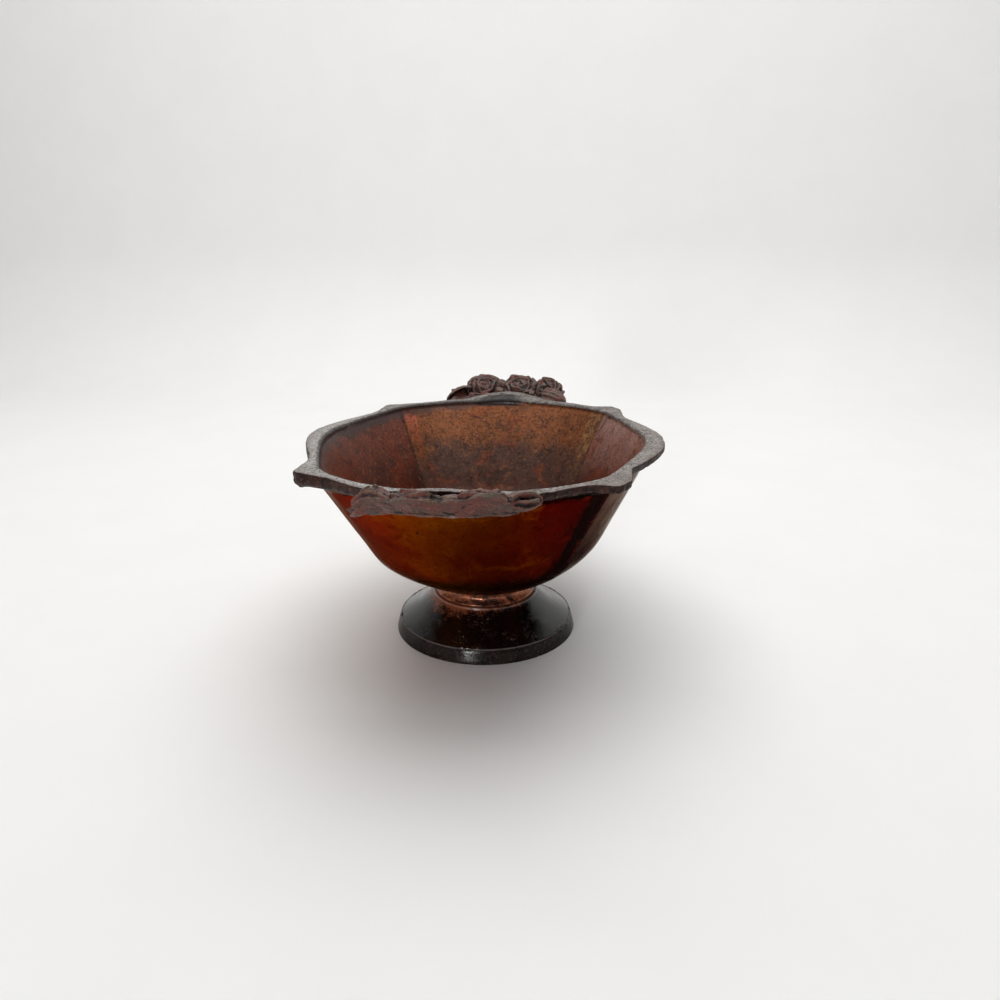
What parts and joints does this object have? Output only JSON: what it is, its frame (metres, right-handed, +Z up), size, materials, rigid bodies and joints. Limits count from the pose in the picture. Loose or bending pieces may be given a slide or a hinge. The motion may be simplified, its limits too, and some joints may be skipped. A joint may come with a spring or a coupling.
{
  "type": "footed bowl",
  "caption": "Footed metal bowl with a six-sided flanged rim, pointed ears and a rose garland handle at each end, on a round conical foot.",
  "frame": {"origin": "on the table plane at the centre of the foot, under the bowl's axis", "axes": "+Z up along the bowl's axis, +Y towards the back garland handle, +X towards the rim's right-hand corner"},
  "size_m": [0.1496, 0.2221, 0.0981],
  "materials": {
    "bowl_patina": "cast, glossy orange-brown to deep red patina",
    "neck_patina": "cast, worn coppery patina",
    "foot_patina": "cast, glossy near-black patina",
    "garland_patina": "cast, dark grey-brown patina with red-brown high spots",
    "fastener_steel": "plain"
  },
  "bodies": {
    "root": {"bowl_body": "bowl_patina", "neck_collar": "neck_patina", "foot": "foot_patina", "handle_back": "garland_patina", "handle_front": "garland_patina", "threaded_stud": "fastener_steel", "washer": "fastener_steel", "nut": "fastener_steel"}
  },
  "joints": []
}
